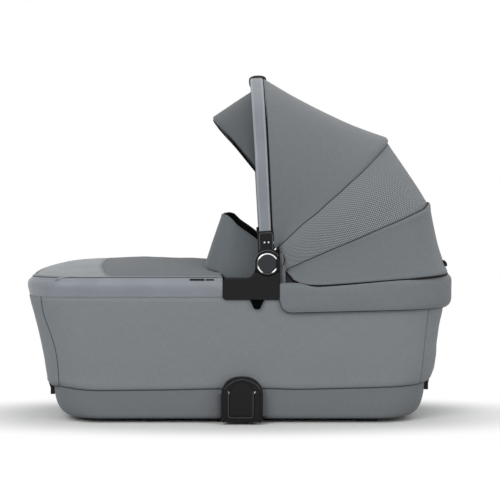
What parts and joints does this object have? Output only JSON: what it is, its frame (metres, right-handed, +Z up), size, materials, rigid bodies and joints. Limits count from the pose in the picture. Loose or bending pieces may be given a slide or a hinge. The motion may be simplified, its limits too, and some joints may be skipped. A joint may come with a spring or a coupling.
{
  "type": "carrycot",
  "caption": "Folding carrycot for a pushchair: soft tub on a rigid tray, zipped apron with raised wind flap, padded head rail, ratchet hood with carry handle and sun visor.",
  "frame": {"origin": "on the ground under the middle of the bounding box", "axes": "+X along the cot towards the head and hood end, +Y to the side, +Z up"},
  "size_m": [0.8015, 0.4462, 0.659],
  "materials": {
    "black_plastic": "fine matt texture",
    "knob_plastic": "satin",
    "rim_plastic": "satin grey",
    "skirt_fabric": "coated grey cloth",
    "tub_fabric": "coated grey cloth",
    "hood_fabric": "grey weave",
    "mesh_fabric": "grey spacer mesh",
    "dark_lining": "black lining",
    "leatherette": "soft grey coated cloth",
    "foam": "foam pad in a knitted cover",
    "bow_metal": "grey anodised",
    "tube_metal": "plain",
    "steel": "plain",
    "chrome": "polished",
    "rubber": "matt"
  },
  "bodies": {
    "base": {"base_tray": "black_plastic", "base_skirt": "skirt_fabric", "mattress": "foam", "tub_cover": "tub_fabric", "tub_liner": "dark_lining", "adaptor_left": "black_plastic", "adaptor_right": "black_plastic", "foot_pad_foot_left": "rubber", "foot_pad_foot_right": "rubber", "foot_pad_head_left": "rubber", "foot_pad_head_right": "rubber", "stay_hinge_foot_left": "black_plastic", "stay_hinge_foot_right": "black_plastic", "stay_hinge_head_left": "black_plastic", "stay_hinge_head_right": "black_plastic", "end_loop_foot_left": "black_plastic", "end_loop_foot_right": "black_plastic", "end_loop_head_left": "black_plastic", "end_loop_head_right": "black_plastic"},
    "adaptor_button_left": {"adaptor_button_left": "black_plastic"},
    "adaptor_button_right": {"adaptor_button_right": "black_plastic"},
    "foot_stay": {"foot_stay": "tube_metal"},
    "head_stay": {"head_stay": "tube_metal"},
    "rim": {"rim_moulding": "rim_plastic", "rim_tube": "tube_metal", "rear_rail": "tube_metal", "rear_bumper": "hood_fabric", "apron": "leatherette", "bracket_left": "black_plastic", "bracket_right": "black_plastic", "bracket_tongue_left": "black_plastic", "bracket_tongue_right": "black_plastic", "pivot_pin_left": "steel", "pivot_pin_right": "steel", "hood_tab_left": "hood_fabric", "hood_tab_right": "hood_fabric", "zip_puller_left": "chrome", "zip_puller_right": "chrome"},
    "hood_rear": {"hood_rear_rib": "tube_metal", "hood_rear_panel": "hood_fabric"},
    "hood_mid": {"hood_mid_rib": "tube_metal", "hood_mesh_panel": "mesh_fabric"},
    "handle": {"handle_bow": "bow_metal", "handle_grip": "black_plastic", "hood_front_panel": "hood_fabric", "visor_fabric": "hood_fabric", "hood_hub_left": "black_plastic", "hood_hub_right": "black_plastic", "hub_ring_left": "chrome", "hub_ring_right": "chrome", "rivet_front_left": "steel", "rivet_front_right": "steel", "rivet_back_left": "steel", "rivet_back_right": "steel"},
    "visor": {"visor_wire": "steel"},
    "hub_knob_left": {"hub_knob_left": "knob_plastic"},
    "hub_knob_right": {"hub_knob_right": "knob_plastic"},
    "wind_flap": {"wind_flap": "hood_fabric"}
  },
  "joints": [
    {"name": "adaptor_press_left", "type": "slide", "parent": "base", "child": "adaptor_button_left", "axis": [0, 1, 0], "range_m": [0, 0.003], "stiffness_N_per_m": 900, "springref_m": -0.002},
    {"name": "adaptor_press_right", "type": "slide", "parent": "base", "child": "adaptor_button_right", "axis": [0, -1, 0], "range_m": [0, 0.003], "stiffness_N_per_m": 900, "springref_m": -0.002},
    {"name": "rim_lower", "type": "slide", "parent": "base", "child": "rim", "axis": [0, 0, -1], "range_m": [0, 0.11], "deforming": ["tub_cover", "tub_liner"]},
    {"name": "foot_stay_fold", "type": "hinge", "parent": "base", "child": "foot_stay", "pos_m": [-0.32986, 0, 0.075], "axis": [0, 1, 0], "range_deg": [0, 101]},
    {"name": "head_stay_fold", "type": "hinge", "parent": "base", "child": "head_stay", "pos_m": [0.3274, 0, 0.075], "axis": [0, -1, 0], "range_deg": [0, 101]},
    {"name": "rear_rib_fold", "type": "hinge", "parent": "rim", "child": "hood_rear", "pos_m": [0.0518, 0, 0.2982], "axis": [0, 1, 0], "range_deg": [0, 15.7], "deforming": ["hood_rear_panel"]},
    {"name": "mid_rib_fold", "type": "hinge", "parent": "hood_rear", "child": "hood_mid", "pos_m": [0.0518, 0, 0.2982], "axis": [0, 1, 0], "range_deg": [0, 20.1], "deforming": ["hood_mesh_panel"]},
    {"name": "handle_turn", "type": "hinge", "parent": "hood_mid", "child": "handle", "pos_m": [0.0518, 0, 0.2982], "axis": [0, 1, 0], "range_deg": [0, 40], "deforming": ["hood_front_panel"]},
    {"name": "visor_fold", "type": "hinge", "parent": "handle", "child": "visor", "pos_m": [0.0373, 0, 0.468], "axis": [0, 1, 0], "range_deg": [0, 45], "deforming": ["visor_fabric"]},
    {"name": "hub_press_left", "type": "slide", "parent": "handle", "child": "hub_knob_left", "axis": [0, 1, 0], "range_m": [0, 0.003], "stiffness_N_per_m": 900, "springref_m": -0.002},
    {"name": "hub_press_right", "type": "slide", "parent": "handle", "child": "hub_knob_right", "axis": [0, -1, 0], "range_m": [0, 0.003], "stiffness_N_per_m": 900, "springref_m": -0.002},
    {"name": "wind_flap_fold", "type": "hinge", "parent": "rim", "child": "wind_flap", "pos_m": [-0.066, 0, 0.301], "axis": [0, 1, 0], "range_deg": [-95, 0]}
  ],
  "couplings": [
    {"joint": "foot_stay_fold", "follows": "rim_lower", "rad_per_m": 15.9},
    {"joint": "head_stay_fold", "follows": "rim_lower", "rad_per_m": 15.9},
    {"joint": "mid_rib_fold", "follows": "handle_turn", "ratio": 0.5},
    {"joint": "rear_rib_fold", "follows": "handle_turn", "ratio": 0.39}
  ]
}
